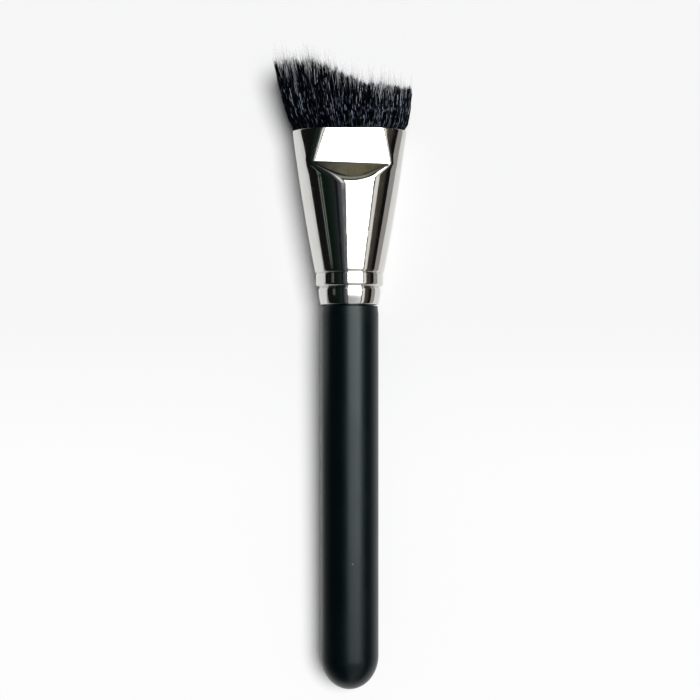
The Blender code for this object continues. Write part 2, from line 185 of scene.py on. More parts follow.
# Numbers and shapes


def between(first, second, share):
    return first + (second - first) * share


def ease(share):
    """Rises smoothly from 0 to 1 while share goes from 0 to 1."""
    share = np.clip(share, 0.0, 1.0)
    return share * share * (3 - 2 * share)


def steps(start, end, count):
    """Evenly spaced values from start up to, but without, end."""
    return list(np.linspace(start, end, count, endpoint=False))


def smooth_least(first, second, softness):
    """The smaller of two values, with a rounded change from one to the other."""
    blend = np.maximum(softness - np.abs(first - second), 0.0) / softness
    return np.minimum(first, second) - blend * blend * softness / 4


def mesh_from(name, points, faces_by_size):
    """A mesh from an array of points and arrays of faces, one array for each number of corners."""
    mesh = bpy.data.meshes.new(name)
    mesh.vertices.add(len(points))
    mesh.vertices.foreach_set("co", np.asarray(points, np.float32).ravel())
    corners = np.concatenate([faces.ravel() for faces in faces_by_size])
    counts = np.concatenate([np.full(len(faces), faces.shape[1]) for faces in faces_by_size])
    mesh.loops.add(len(corners))
    mesh.loops.foreach_set("vertex_index", corners.astype(np.int32))
    mesh.polygons.add(len(counts))
    mesh.polygons.foreach_set("loop_start", (np.cumsum(counts) - counts).astype(np.int32))
    mesh.polygons.foreach_set("use_smooth", np.ones(len(counts), bool))
    mesh.update(calc_edges=True)
    return mesh


def quads_between(lower, upper):
    """Faces between matching rings of point numbers; each ring is closed."""
    corners = [lower, np.roll(lower, -1, axis=-1), np.roll(upper, -1, axis=-1), upper]
    return np.stack(corners, axis=-1).reshape(-1, 4)


def rings_mesh(name, rings, closed_loop):
    """A skin over rings of points: joined end to end in a loop, or with a flat face over each end."""
    rows, columns = rings.shape[:2]
    index = np.arange(rows * columns).reshape(rows, columns)
    if closed_loop:
        faces = [quads_between(index, np.roll(index, -1, axis=0))]
    else:
        faces = [quads_between(index[:-1], index[1:]), index[:1, ::-1], index[-1:]]
    return mesh_from(name, rings.reshape(-1, 3), faces)


def stand_on_axis(across, up, height):
    """Points in the frame from places across the brush, up out of it and along it."""
    across, up, height = np.broadcast_arrays(across, up, height)
    return np.stack([AXIS.x + across, AXIS.y + height, AXIS.z + up], axis=-1)


def add_object(name, data):
    """Shows a mesh, a light or a camera in the scene."""
    shown = bpy.data.objects.new(name, data)
    bpy.context.scene.collection.objects.link(shown)
    return shown


def add_piece(name, mesh, material, slot, *nodes):
    """Shows a mesh in place of the frame's own nodes, on the brush's one body."""
    mesh.materials.append(material)
    piece = add_object(name, mesh)
    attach(piece, BODY)
    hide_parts(*nodes)


# Colours and node trees


def rgba(colour):
    """A colour with full alpha; one number alone is a grey."""
    return (*np.broadcast_to(colour, 3).tolist(), 1.0)


def tinted(colour, shares):
    """A colour multiplied by one share, or by a share for each channel."""
    return rgba(np.multiply(colour, shares))


def fill(inputs, values):
    """Fills inputs, by name or number, with numbers or with other nodes' outputs."""
    for name, value in values.items():
        if isinstance(value, bpy.types.NodeSocket):
            value.id_data.links.new(value, inputs[name])
        else:
            inputs[name].default_value = value


def add_node(tree, kind, values=None, **settings):
    """Adds a node with its settings and fills its inputs."""
    node = tree.nodes.new(kind)
    for name, setting in settings.items():
        setattr(node, name, setting)
    fill(node.inputs, values or {})
    return node


def tree_of(*values):
    """The node tree of the first value that is a node's output."""
    return next(value.id_data for value in values if isinstance(value, bpy.types.NodeSocket))


def compute(operation, *values, clamp=False):
    """The output of a Math node; at least one value is another node's output."""
    settings = {"operation": operation, "use_clamp": clamp}
    return add_node(tree_of(*values), "ShaderNodeMath", dict(enumerate(values)), **settings).outputs[0]


plus = partial(compute, "ADD")
minus = partial(compute, "SUBTRACT")
times = partial(compute, "MULTIPLY")
greater = partial(compute, "MAXIMUM")


def remap(value, old_low, old_high, low=0.0, high=1.0, smooth=False):
    """The output of a Map Range node, which stays within its new range."""
    kind = "SMOOTHSTEP" if smooth else "LINEAR"
    ranges = {0: value, 1: old_low, 2: old_high, 3: low, 4: high}
    return add_node(value.id_data, "ShaderNodeMapRange", ranges, interpolation_type=kind).outputs[0]


def mix_colours(factor, first, second, blend="MIX"):
    """The colour output of a Mix node; at least one value is another node's output."""
    tree = tree_of(factor, first, second)
    colours = {0: factor, 6: first, 7: second}
    return add_node(tree, "ShaderNodeMix", colours, data_type="RGBA", blend_type=blend).outputs[2]


def mix_shaders(factor, first, second):
    """The output of a Mix Shader node."""
    return add_node(first.id_data, "ShaderNodeMixShader", {0: factor, 1: first, 2: second}).outputs[0]


def noise(vector, scale, detail=3.0, roughness=0.5):
    """The value of a Noise Texture."""
    values = {"Vector": vector, "Scale": scale, "Detail": detail, "Roughness": roughness}
    return add_node(vector.id_data, "ShaderNodeTexNoise", values).outputs[0]


def cells(vector, scale):
    """The outputs of a Voronoi Texture."""
    return add_node(vector.id_data, "ShaderNodeTexVoronoi", {"Vector": vector, "Scale": scale}).outputs


def stretched(vector, scale):
    """A vector scaled on each axis."""
    return add_node(vector.id_data, "ShaderNodeMapping", {"Vector": vector, "Scale": scale}).outputs[0]


def bump(height, distance):
    """The normal of a Bump node; distance is the height's real depth."""
    return add_node(height.id_data, "ShaderNodeBump", {"Height": height, "Distance": distance}).outputs[0]


def new_material(name):
    """A new material with its tree, its shader and the object's own coordinates, in metres."""
    material = bpy.data.materials.new(name)
    material.use_nodes = True
    tree = material.node_tree
    tree.nodes.clear()
    shader = add_node(tree, "ShaderNodeBsdfPrincipled")
    add_node(tree, "ShaderNodeOutputMaterial", {"Surface": shader.outputs[0]})
    place = add_node(tree, "ShaderNodeTexCoord").outputs["Object"]
    return material, tree, shader, place


SOCKET_KINDS = {type(None): "Vector", float: "Float", tuple: "Color"}


def new_group(name, inputs, outputs):
    """A shader node group with named inputs and their defaults, None for a vector, and named outputs."""
    group = bpy.data.node_groups.new(name, "ShaderNodeTree")
    for label, default in inputs.items():
        kind = "NodeSocket" + SOCKET_KINDS[type(default)]
        socket = group.interface.new_socket(label, in_out="INPUT", socket_type=kind)
        if default is not None:
            socket.default_value = default
    for label, kind in outputs.items():
        group.interface.new_socket(label, in_out="OUTPUT", socket_type="NodeSocket" + kind)
    return group, add_node(group, "NodeGroupInput").outputs, add_node(group, "NodeGroupOutput").inputs


def use_group(tree, name, **values):
    """Places a shared group in a material; underscores in the names stand for spaces."""
    node = add_node(tree, "ShaderNodeGroup", node_tree=bpy.data.node_groups[name])
    fill(node.inputs, {label.replace("_", " "): value for label, value in values.items()})
    return node.outputs


# Shared groups


def make_dust_group():
    """Sparse specks of dust, each of its own size."""
    inputs = {"Vector": None, "Cells": 700.0, "Share": 0.02, "Size": 0.2}
    group, given, out = new_group("dust_specks", inputs, {"Mask": "Float"})
    cell = cells(given["Vector"], given["Cells"])
    chance = add_node(group, "ShaderNodeSeparateColor", {0: cell["Color"]}).outputs
    chosen = compute("LESS_THAN", chance[0], given["Share"])
    radius = times(given["Size"], plus(chance[1], 0.35))
    speck = remap(cell["Distance"], times(radius, 0.6), radius, 1.0, 0.0, smooth=True)
    fill(out, {"Mask": times(speck, chosen)})


def make_scratch_group():
    """Hairline scratches in two directions and cloudy handling marks."""
    inputs = {"Vector": None, "Fineness": 900.0, "Share": 0.03, "Mark Size": 120.0}
    group, given, out = new_group("handling_marks", inputs, {"Scratches": "Float", "Marks": "Float"})
    lines = []
    for turn in (0.35, -0.9):
        values = {"Vector": given["Vector"], "Angle": turn}
        turned = add_node(group, "ShaderNodeVectorRotate", values, rotation_type="Z_AXIS").outputs[0]
        wave = noise(stretched(turned, (1.0, 0.03, 1.0)), given["Fineness"], detail=1.0)
        line = remap(compute("ABSOLUTE", minus(wave, 0.5)), 0.0, given["Share"], 1.0, 0.0)
        patch = noise(turned, 260.0, detail=1.0)
        lines.append(times(line, remap(patch, 0.55, 0.66, smooth=True)))
    cloud = noise(given["Vector"], given["Mark Size"], detail=4.0, roughness=0.6)
    fill(out, {"Scratches": greater(*lines), "Marks": remap(cloud, 0.42, 0.68, smooth=True)})


def make_resin_group():
    """Cast resin: cloudy depth of colour, small bubbles and a softly uneven skin."""
    inputs = {
        "Vector": None,
        "Colour": (0.6, 0.4, 0.2, 1.0),
        "Deep Colour": (0.3, 0.15, 0.05, 1.0),
        "Cloud Size": 300.0,
        "Bubbles": 1400.0,
    }
    outputs = {"Colour": "Color", "Roughness": "Float", "Height": "Float"}
    _, given, out = new_group("cast_resin", inputs, outputs)
    cloud = noise(given["Vector"], given["Cloud Size"], detail=4.0)
    depth = remap(cloud, 0.35, 0.65, smooth=True)
    colour = mix_colours(depth, given["Colour"], given["Deep Colour"])
    distance = cells(given["Vector"], given["Bubbles"])["Distance"]
    bubble = remap(distance, 0.16, 0.26, 1.0, 0.0, smooth=True)
    fill(out, {
        "Colour": mix_colours(times(bubble, 0.35), colour, (0.9, 0.85, 0.75, 1.0)),
        "Roughness": remap(cloud, 0.3, 0.7, 0.22, 0.42),
        "Height": minus(cloud, times(bubble, 0.4)),
    })


def make_strand_group():
    """One fibre's colour: its own brightness, paler stretches along it that are painted highlights, fainter
    towards the root as painted shade, and a change towards the tip.
    """
    inputs = {
        "Root Colour": rgba(0.01),
        "Tip Colour": rgba(0.02),
        "Streak Colour": rgba(0.1),
        "Streak Share": 0.1,
        "Streaks": 5.0,
        "Tip Start": 0.4,
        "Spread": 0.5,
        "Roughness": 0.4,
    }
    group, given, out = new_group("strand_shade", inputs, {"Colour": "Color", "Roughness": "Float"})
    strand, along, side = (
        add_node(group, "ShaderNodeAttribute", attribute_name=name).outputs["Fac"]
        for name in ("strand", "along", "side")
    )
    # Painted highlights: short stretches of each fibre are painted in the streak colour, a little fewer on
    # the long side of the head
    place = {0: times(strand, 911.0), 1: times(along, given["Streaks"])}
    wave = noise(add_node(group, "ShaderNodeCombineXYZ", place).outputs[0], 1.0, detail=1.0)
    few = remap(side, -0.9, 0.25, 0.78, 1.0)
    limit = minus(0.75, times(given["Streak Share"], few))
    over = times(minus(wave, limit), 22.0, clamp=True)
    # Painted shade: the painted highlights grow fainter towards the root, near the mouth
    over = times(over, remap(along, 0.12, 0.52, 0.28, 1.0))
    colour = mix_colours(over, given["Root Colour"], given["Streak Colour"])
    tipward = remap(along, given["Tip Start"], 1.0, smooth=True)
    colour = mix_colours(tipward, colour, given["Tip Colour"])
    shuffled = compute("FRACT", times(strand, 37.7))
    shade = remap(shuffled, 0.0, 1.0, minus(1.0, given["Spread"]), 1.0)
    grey = add_node(group, "ShaderNodeCombineColor", {0: shade, 1: shade, 2: shade}).outputs[0]
    fill(out, {
        "Colour": mix_colours(1.0, colour, grey, "MULTIPLY"),
        "Roughness": times(given["Roughness"], remap(shuffled, 0.0, 1.0, 1.2, 0.8)),
    })


# Materials


def make_lacquer(settings):
    """Satin black lacquer over wood: a trace of grain, orange peel, a few dust specks and dulled spots."""
    material, tree, shader, place = new_material("satin_black_lacquer")
    marks = use_group(tree, "handling_marks", Vector=place, Fineness=700.0, Share=0.02, Mark_Size=90.0)
    dust = use_group(tree, "dust_specks", Vector=place, Cells=420.0, Share=0.016, Size=0.10)["Mask"]
    grain = noise(stretched(place, (1.0, 0.06, 1.0)), 900.0, detail=4.0)
    peel = noise(place, 650.0, detail=2.0)
    colour = mix_colours(grain, rgba(settings.colour), tinted(settings.colour, 1.6))
    rough = remap(marks["Marks"], 0.0, 1.0, settings.roughness, settings.roughness + 0.05)
    surface = minus(plus(times(grain, 0.35), peel), times(marks["Scratches"], 0.3))
    fill(shader.inputs, {
        "Base Color": mix_colours(times(dust, 0.55), colour, (0.32, 0.33, 0.33, 1.0)),
        "Roughness": plus(rough, times(dust, 0.4), clamp=True),
        "Normal": bump(surface, 0.000004),
        "IOR": 1.35,
        "Specular Tint": (0.88, 1.0, 0.98, 1.0),
    })
    return material


def make_nickel(settings):
    """Polished nickel plate: faint handling marks, hairline scratches and a barely uneven pressed skin."""
    material, tree, shader, place = new_material("polished_nickel")
    marks = use_group(tree, "handling_marks", Vector=place, Fineness=1200.0, Share=0.014, Mark_Size=170.0)
    dust = use_group(tree, "dust_specks", Vector=place, Cells=600.0, Share=0.012, Size=0.08)["Mask"]
    dull = tinted(settings.colour, (0.95, 0.935, 0.90))
    colour = mix_colours(times(marks["Marks"], 0.7), rgba(settings.colour), dull)
    rough = remap(marks["Marks"], 0.0, 1.0, settings.roughness, settings.roughness + 0.035)
    rough = plus(rough, times(marks["Scratches"], 0.12))
    swell = noise(place, 260.0, detail=1.0)
    fill(shader.inputs, {
        "Base Color": mix_colours(times(dust, 0.5), colour, (0.35, 0.34, 0.33, 1.0)),
        "Metallic": 1.0,
        "Roughness": plus(rough, times(dust, 0.4), clamp=True),
        "Normal": bump(minus(swell, times(marks["Scratches"], 0.12)), 0.00001),
    })
    return material


def make_resin(name, colour, cloud_size):
    """Set glue or epoxy."""
    material, tree, shader, place = new_material(name)
    colours = {"Colour": rgba(colour), "Deep_Colour": tinted(colour, 0.6)}
    resin = use_group(tree, "cast_resin", Vector=place, Cloud_Size=cloud_size, **colours)
    fill(shader.inputs, {
        "Base Color": resin["Colour"],
        "Roughness": resin["Roughness"],
        "Normal": bump(resin["Height"], 0.00004),
        "Specular IOR Level": 0.5,
    })
    return material


def make_fibre_material(name, settings, roughness, fixed):
    """Fine synthetic fibre; fixed values go straight to the shader."""
    material, tree, shader, _ = new_material(name)
    shade = use_group(
        tree,
        "strand_shade",
        Root_Colour=rgba(settings.colour),
        Tip_Colour=rgba(settings.tip_colour),
        Streak_Colour=rgba(settings.painted_light_streak_colour),
        Streak_Share=settings.streak_share,
        Streaks=settings.streaks,
        Tip_Start=settings.tip_start,
        Spread=0.45,
        Roughness=roughness,
    )
    fill(shader.inputs, {"Base Color": shade["Colour"], "Roughness": shade["Roughness"], **fixed})
    return material


# Handle


def handle_outline():
    """(radius, height) points from the top of the tenon down to the middle of the rounded end."""
    points = [(POLE_RADIUS, TENON_LENGTH), (TENON_RADIUS - TENON_CHAMFER, TENON_LENGTH)]
    points.append((TENON_RADIUS, TENON_LENGTH - TENON_CHAMFER))
    for share in GROOVE_SHARES:
        for turn in np.linspace(0, math.pi, 9):
            height = TENON_LENGTH * share + GROOVE_WIDTH / 2 * math.cos(turn)
            points.append((TENON_RADIUS - GROOVE_DEPTH * math.sin(turn), height))
    neck = HANDLE_RADIUS - NECK_DROP
    points += [(TENON_RADIUS, -NECK_GAP), (TENON_RADIUS + NECK_CORNER, -NECK_GAP)]
    for turn in np.linspace(0, math.pi / 2, 7):
        inwards = NECK_ROUNDING * (1 - math.sin(turn))
        points.append((neck - inwards, -NECK_GAP - NECK_ROUNDING * (1 - math.cos(turn))))
    neck_foot = NECK_GAP + NECK_ROUNDING
    for share in steps(0.1, 1.0, 8):
        points.append((neck + NECK_DROP * float(ease(share)), -neck_foot - NECK_LENGTH * share))
    straight_end = HANDLE_LENGTH - HANDLE_END_DEPTH
    for height in steps(neck_foot + NECK_LENGTH, straight_end, 30):
        points.append((HANDLE_RADIUS, -height))
    for turn in np.linspace(0, math.pi / 2, 40)[:-1]:
        points.append((HANDLE_RADIUS * math.cos(turn), -straight_end - HANDLE_END_DEPTH * math.sin(turn)))
    points.append((POLE_RADIUS, -HANDLE_LENGTH))
    return np.array(points)


def turned_rings(outline, sides):
    """The outline's points turned about the axis."""
    angles = np.linspace(0, 2 * math.pi, sides, endpoint=False)
    radius, height = outline[:, 0, None], outline[:, 1, None]
    return stand_on_axis(radius * np.cos(angles), radius * np.sin(angles), height)


# Ferrule


def foot_radius(height):
    """Radius of the round foot: the collar, the crimp, the raised band and the ring line above it."""
    if height < COLLAR_LENGTH:
        return between(COLLAR_RADIUS, COLLAR_TOP_RADIUS, 1 - (1 - max(height, 0.0) / COLLAR_LENGTH) ** 2)
    if height < BAND_START:
        turn = math.pi * (height - COLLAR_LENGTH) / CRIMP_WIDTH
        return COLLAR_TOP_RADIUS - CRIMP_DEPTH * math.sin(turn) ** 2
    if height < BAND_START + BAND_ROUNDING:
        share = 1 - (height - BAND_START) / BAND_ROUNDING
        return between(COLLAR_TOP_RADIUS, BAND_RADIUS, math.sqrt(1 - share * share))
    if height < RING_LINE_START:
        return BAND_RADIUS
    share = (height - RING_LINE_START) / RING_LINE_WIDTH
    return between(BAND_RADIUS, LOFT_RADIUS, share) - RING_LINE_DEPTH * math.sin(math.pi * share) ** 2


def section_size(height):
    """Half width, half thickness and roundness of the outer wall, without the pressed panels."""
    if height < LOFT_START:
        radius = foot_radius(height)
        return radius, radius, 2.0
    share = (height - LOFT_START) / (FERRULE_LENGTH - LOFT_START)
    half_width = between(LOFT_RADIUS, MOUTH_HALF_WIDTH, share) + WIDTH_BULGE * 4 * share * (1 - share)
    if height < SHOULDER_HEIGHT:
        share = (height - SHOULDER_HEIGHT) / (LOFT_START - SHOULDER_HEIGHT)
        half_thickness = between(SHOULDER_HALF_THICKNESS, LOFT_RADIUS, share**2)
        return half_width, half_thickness, between(SHOULDER_ROUNDNESS, 2.0, share)
    share = (height - SHOULDER_HEIGHT) / (FERRULE_LENGTH - SHOULDER_HEIGHT)
    half_thickness = between(SHOULDER_HALF_THICKNESS, MOUTH_HALF_THICKNESS, share**MOUTH_FALL)
    roundness = between(SHOULDER_ROUNDNESS, MOUTH_ROUNDNESS, share) + pushed_aside(height)
    return half_width, half_thickness, roundness


def pushed_aside(height):
    """How much squarer a section is round the crease, where the press pushed the metal aside."""
    if height < CREASE:
        return CREASE_BULGE * float(ease((height - CREASE) / CREASE_BULGE_LENGTH + 1))
    return CREASE_BULGE * max(1 - (height - CREASE) / (ROOT_HEIGHT - CREASE), 0.0) ** 2


def press_limit(height, inset, across):
    """How far out the press leaves a broad side: the flat panel, and the step that slopes up behind it.

    The jaws sat a little askew, so the crease between the two runs aslant.
    """
    crease = CREASE - inset * math.tan(PRESS_SLOPE / 2) - CREASE_SLANT * across
    rise = (crease - height) * math.tan(PRESS_SLOPE)
    return PANEL_HALF_THICKNESS - inset + (rise + np.sqrt(rise * rise + CREASE_SOFTNESS**2)) / 2


def wall_ring(height, inset, angles):
    """One ring of the ferrule's wall, drawn in by inset."""
    half_width, half_thickness, roundness = section_size(height)
    if height < LOFT_START and inset > WALL / 2:
        half_width = half_thickness = min(half_width, foot_radius(max(height - WALL, 0.0)))
    across, up = np.cos(angles), np.sin(angles)
    across = (half_width - inset) * np.sign(across) * np.abs(across) ** (2 / roundness)
    out = (half_thickness - inset) * np.abs(up) ** (2 / roundness)
    share = min(max((height - CREASE) / (FERRULE_LENGTH - CREASE), 0.0), 1.0)
    softness = between(CREASE_EDGE_SOFTNESS, MOUTH_EDGE_SOFTNESS, share)
    past_ridge = float(ease((height - CREASE + RIDGE_FADE / 2) / RIDGE_FADE))
    softness = between(RIDGE_SOFTNESS, softness, past_ridge)
    out = smooth_least(out, press_limit(height, inset, across * np.sign(up)), softness)
    return stand_on_axis(across, np.sign(up) * out, height)


def ferrule_angles(quarter):
    """Angles round the ferrule, crowded where the panels' edges run."""
    flank = int(quarter * FLANK_SHARE)
    angles = np.array(steps(0.0, FLANK_ANGLE, flank) + steps(FLANK_ANGLE, math.pi / 2, quarter - flank))
    mirrored = math.pi - np.append(angles, math.pi / 2)[:0:-1]
    half = np.concatenate([angles, mirrored])
    return np.concatenate([half, half + math.pi])


def ferrule_rings(quarter):
    """The wall as one loop of rings: round the foot, up the outside, over the lip and down the bore."""
    radius = WALL / 2
    lip = FERRULE_LENGTH - radius
    outside = (
        steps(radius, COLLAR_LENGTH, 12)
        + steps(COLLAR_LENGTH, BAND_START, 10)
        + [BAND_START + BAND_ROUNDING * (1 - math.cos(turn)) for turn in steps(0.0, math.pi / 2, 12)]
        + steps(BAND_START + BAND_ROUNDING, RING_LINE_START, 5)
        + steps(RING_LINE_START, LOFT_START, 10)
        + steps(LOFT_START, DENSE_START, 34)
        + steps(DENSE_START, DENSE_END, 68)
        + steps(DENSE_END, lip, 18)
    )
    inside = (
        steps(lip, CREASE, 5)
        + steps(CREASE, DENSE_START, 10)
        + steps(DENSE_START, LOFT_START, 10)
        + steps(LOFT_START, radius, 14)
    )
    places = [
        (radius - radius * math.sin(turn), radius * (1 - math.cos(turn))) for turn in steps(math.pi, 0.0, 6)
    ]
    places += [(height, 0.0) for height in outside]
    places += [
        (lip + radius * math.sin(turn), radius * (1 - math.cos(turn))) for turn in steps(0.0, math.pi, 8)
    ]
    places += [(height, WALL) for height in inside]
    angles = ferrule_angles(quarter)
    return np.stack([wall_ring(height, inset, angles) for height, inset in places])


# Fibres


def honeycomb(spacing, half_width, half_height, jitter, chance):
    """Places in a honeycomb over a rectangle, each shifted at random by a share of the spacing."""
    rows = np.arange(-half_height, half_height, spacing * math.sqrt(3) / 2)
    columns = np.arange(-half_width, half_width, spacing)
    across, up = np.meshgrid(columns, rows)
    across = across + (np.arange(len(rows)) % 2)[:, None] * spacing / 2
    places = np.stack([across.ravel(), up.ravel()], axis=-1)
    return places + chance.uniform(-jitter, jitter, places.shape) * spacing


def fibre_roots(spacing, margin, chance):
    """Where the fibres stand in the mouth, clear of its wall."""
    x, z = honeycomb(spacing, MOUTH_HALF_WIDTH, PANEL_HALF_THICKNESS, ROOT_JITTER, chance).T
    inset = WALL + margin
    limit = np.full(len(x), 1.0)
    for height in (ROOT_HEIGHT, FERRULE_LENGTH - WALL):
        half_width, half_thickness, roundness = section_size(height)
        share = np.minimum(np.abs(z) / (half_thickness - inset), 1.0)
        limit = np.minimum(limit, (half_width - inset) * (1 - share**roundness) ** (1 / roundness))
    kept = (np.abs(x) < limit) & (np.abs(z) < PANEL_HALF_THICKNESS - inset)
    return x[kept], z[kept]


def cut_reach(x, z):
    """How far past the mouth the black fibres reach: a curved cut, rounded over in thickness."""
    place = x / MOUTH_HALF_WIDTH
    share = np.clip((place - CUT_START_SHARE) / (CUT_END_SHARE - CUT_START_SHARE), 0.0, 1.0)
    reach = between(LONG_REACH, MIDDLE_REACH, (ease(share) + 2 * share) / 3)
    past = np.maximum(place - CUT_END_SHARE, 0.0) / (1 - CUT_END_SHARE)
    return reach + (SHORT_REACH - MIDDLE_REACH) * past - TIP_ROUNDING * (z / PANEL_HALF_THICKNESS) ** 2


def tufts_of(x, z, size, chance):
    """Sorts the fibres into tufts, deeper than wide and narrowest on the short side of the head.

    Gives each fibre's tuft number and the tufts' middles.
    """
    warp = 1.3 + 0.35 * x / MOUTH_HALF_WIDTH
    places = np.stack([x * warp, z * TUFT_SQUEEZE], axis=-1)
    half_width, half_height = MOUTH_HALF_WIDTH * 1.7, PANEL_HALF_THICKNESS * 1.3
    middles = honeycomb(size * TUFT_GAP, half_width, half_height, TUFT_JITTER, chance)
    nearest = np.empty(len(x), int)
    for start in range(0, len(x), 2000):
        part = places[start:start + 2000, None] - middles[None]
        nearest[start:start + 2000] = np.argmin((part**2).sum(axis=-1), axis=1)
    members = np.maximum(np.bincount(nearest, minlength=len(middles)), 1)
    middle_x = np.bincount(nearest, x, len(middles)) / members
    middle_z = np.bincount(nearest, z, len(middles)) / members
    return nearest, middle_x, middle_z


def spread_out(x, rise):
    """How far the fibres have spread sideways: steadily on the long side, and early on the short one."""
    side = np.clip(x / MOUTH_HALF_WIDTH * 0.52 + 0.5, 0.0, 1.0)
    bulge = MOUTH_BULGE * x / MOUTH_HALF_WIDTH * np.sqrt(np.minimum(rise * 8, 1.0))
    return bulge + between(-LONG_SIDE_SPREAD * rise**0.70, SHORT_SIDE_SPREAD * rise**0.45, side)


def fibre_paths(x, z, reach, settings, chance):
    """Points of every fibre from root to tip: they spread and swell, gather into tufts, waver and stray."""
    count = len(x)
    place = x / MOUTH_HALF_WIDTH
    long_side = 1 - ease(place * 0.6 + 0.45)
    tuft, middle_x, middle_z = tufts_of(x, z, settings.tuft_size, chance)
    tufts = len(middle_x)
    off_x, off_z = x - middle_x[tuft], (z - middle_z[tuft]) * TUFT_SQUEEZE
    off = np.hypot(off_x, off_z) / settings.tuft_size
    pull = (chance.uniform(0.6, 1.0, tufts)[tuft] * between(0.55, 1.0, long_side))[:, None]

    # The tufts' lengths differ, each is shorter towards its edge, and single fibres end early
    uneven = between(0.4, 1.0, long_side) * between(1.0, 0.4, ease(-place * 4 - 2.6))
    reach = reach + chance.uniform(-1.0, 0.6, tufts)[tuft] * settings.tuft_scatter * uneven
    reach = reach - settings.tuft_point * between(0.45, 1.0, long_side) * np.minimum(off, 1.0) ** 1.2
    early = chance.uniform(0.0, 1.0, count) ** 1.3
    reach = reach - settings.tip_scatter * between(0.7, 1.2, long_side) * early

    height = ROOT_HEIGHT + (FERRULE_LENGTH + reach - ROOT_HEIGHT)[:, None] * RING_SHARES[None, :]
    out_of_mouth = np.maximum(height - FERRULE_LENGTH, 0.0)
    rise = out_of_mouth / LONG_REACH
    swell = np.sin(np.minimum(rise, 1.2) * math.pi * SWELL_TURN_SHARE)
    gathered = pull * (out_of_mouth / reach[:, None]) ** settings.tuft_depth
    across = x[:, None] + spread_out(x[:, None], rise) - off_x[:, None] * gathered
    up = z[:, None] * (1 + HEAD_SWELL / PANEL_HALF_THICKNESS * swell) - off_z[:, None] * gathered

    # Tufts lean and single fibres stray, a few of them far, but less at the two edges of the head
    lean = chance.normal(0.0, 1.0, (2, tufts))[:, tuft] * settings.tuft_lean
    own = chance.normal(0.0, 1.0, (2, count)) * settings.stray
    wild = np.where(chance.random(count) < WILD_SHARE, WILD_STRAY, 1.0)
    edge = between(1.0, 0.4, np.abs(place) ** 6)
    across = across + ((lean[0] + own[0] * wild) * edge)[:, None] * rise**1.4
    up = up + (lean[1] + own[1] * 0.6 * wild)[:, None] * rise**1.4

    # A long and a short wave make them waver, more in thickness than across
    loose = np.clip(rise * 7, 0.0, 1.0) * settings.waver
    for turns, part in ((2.6, 1.0), (4.6, 0.5)):
        phase = chance.uniform(0.0, 1.0, (2, count, 1))
        pace = turns * chance.uniform(0.75, 1.3, (2, count, 1))
        wave = np.sin(2 * math.pi * (pace * rise + phase)) * loose * part
        across = across + wave[0] * 0.5
        up = up + wave[1] * 1.5
    return stand_on_axis(across, up, height)


def strands_mesh(name, paths, radius, chance):
    """All fibres of a piece as fine tapered tubes, with numbers for each point's fibre, place and side."""
    count, rings = paths.shape[:2]
    ahead = np.gradient(paths, axis=1)
    ahead /= np.linalg.norm(ahead, axis=-1, keepdims=True)
    side = np.cross(ahead, (0.0, 0.0, 1.0))
    side /= np.linalg.norm(side, axis=-1, keepdims=True)
    over = np.cross(side, ahead)
    corners = np.arange(STRAND_SIDES) * 2 * math.pi / STRAND_SIDES
    turns = chance.uniform(0, 2 * math.pi, (count, 1, 1)) + corners
    thick = radius * chance.uniform(0.8, 1.15, (count, 1, 1)) * RING_RADII[None, :, None]
    points = (
        paths[:, :, None]
        + side[:, :, None] * (np.cos(turns) * thick)[..., None]
        + over[:, :, None] * (np.sin(turns) * thick)[..., None]
    )
    index = np.arange(count * rings * STRAND_SIDES).reshape(count, rings, STRAND_SIDES)
    quads = quads_between(index[:, :-1], index[:, 1:])
    mesh = mesh_from(name, points.reshape(-1, 3), [quads, index[:, 0, ::-1], index[:, -1]])
    numbers = {
        "strand": chance.random((count, 1, 1)),
        "along": RING_SHARES[None, :, None],
        "side": (paths[:, :1, :1] - AXIS.x) / MOUTH_HALF_WIDTH,
    }
    for label, values in numbers.items():
        attribute = mesh.attributes.new(label, "FLOAT", "POINT")
        attribute.data.foreach_set("value", np.broadcast_to(values, index.shape).astype(np.float32).ravel())
    return mesh


# Stage


def ramp(value, stops):
    """A Color Ramp's colour; stops are (degrees from -90 to 90, colour or grey) pairs."""
    node = add_node(value.id_data, "ShaderNodeValToRGB", {0: remap(value, -90.0, 90.0)})
    elements = node.color_ramp.elements
    while len(elements) > 1:
        elements.remove(elements[-1])
    for number, (degrees, colour) in enumerate(stops):
        place = (degrees + 90.0) / 180.0
        element = elements[0] if number == 0 else elements.new(place)
        element.position = place
        element.color = rgba(colour)
    return node.outputs[0]


# The mirrored window's light from its left edge to its right one, and from low to high, as shares
PANE_ACROSS = [(-6, 0.56), (10, 0.66), (25, 0.74), (45, 0.95)]
PANE_ALONG = [(-90, 0.11), (-18, 0.10), (-13, 0.14), (-9, 0.50), (-7, 0.72), (-5, 0.86), (-1, 1.0)]

# The room round the window, from the left to straight up and to the right
ROOM_ACROSS = [
    (-90, 0.010),
    (-64, 0.008),
    (-54, (0.004, 0.010, 0.006)),
    (-44, (0.006, 0.014, 0.009)),
    (-35, (0.014, 0.019, 0.017)),
    (-28, (0.024, 0.028, 0.031)),
    (-24.5, (0.006, 0.008, 0.010)),
    (-22.5, (0.006, 0.008, 0.010)),
    (-21, (0.050, 0.054, 0.062)),
    (-14, (0.100, 0.103, 0.115)),
    (40, (0.100, 0.095, 0.085)),
    (61, (0.072, 0.064, 0.056)),
    (72, (0.058, 0.052, 0.043)),
    (79, 0.008),
    (90, 0.004),
]

# Two thin gleams on the far left, low in the room
GLEAMS = [
    (-63, 0.0),
    (-62, (0.25, 0.265, 0.235)),
    (-60.8, (0.25, 0.265, 0.235)),
    (-60, 0.0),
    (-58, 0.0),
    (-57, (0.17, 0.195, 0.17)),
    (-55.4, (0.20, 0.225, 0.20)),
    (-54.6, 0.0),
]

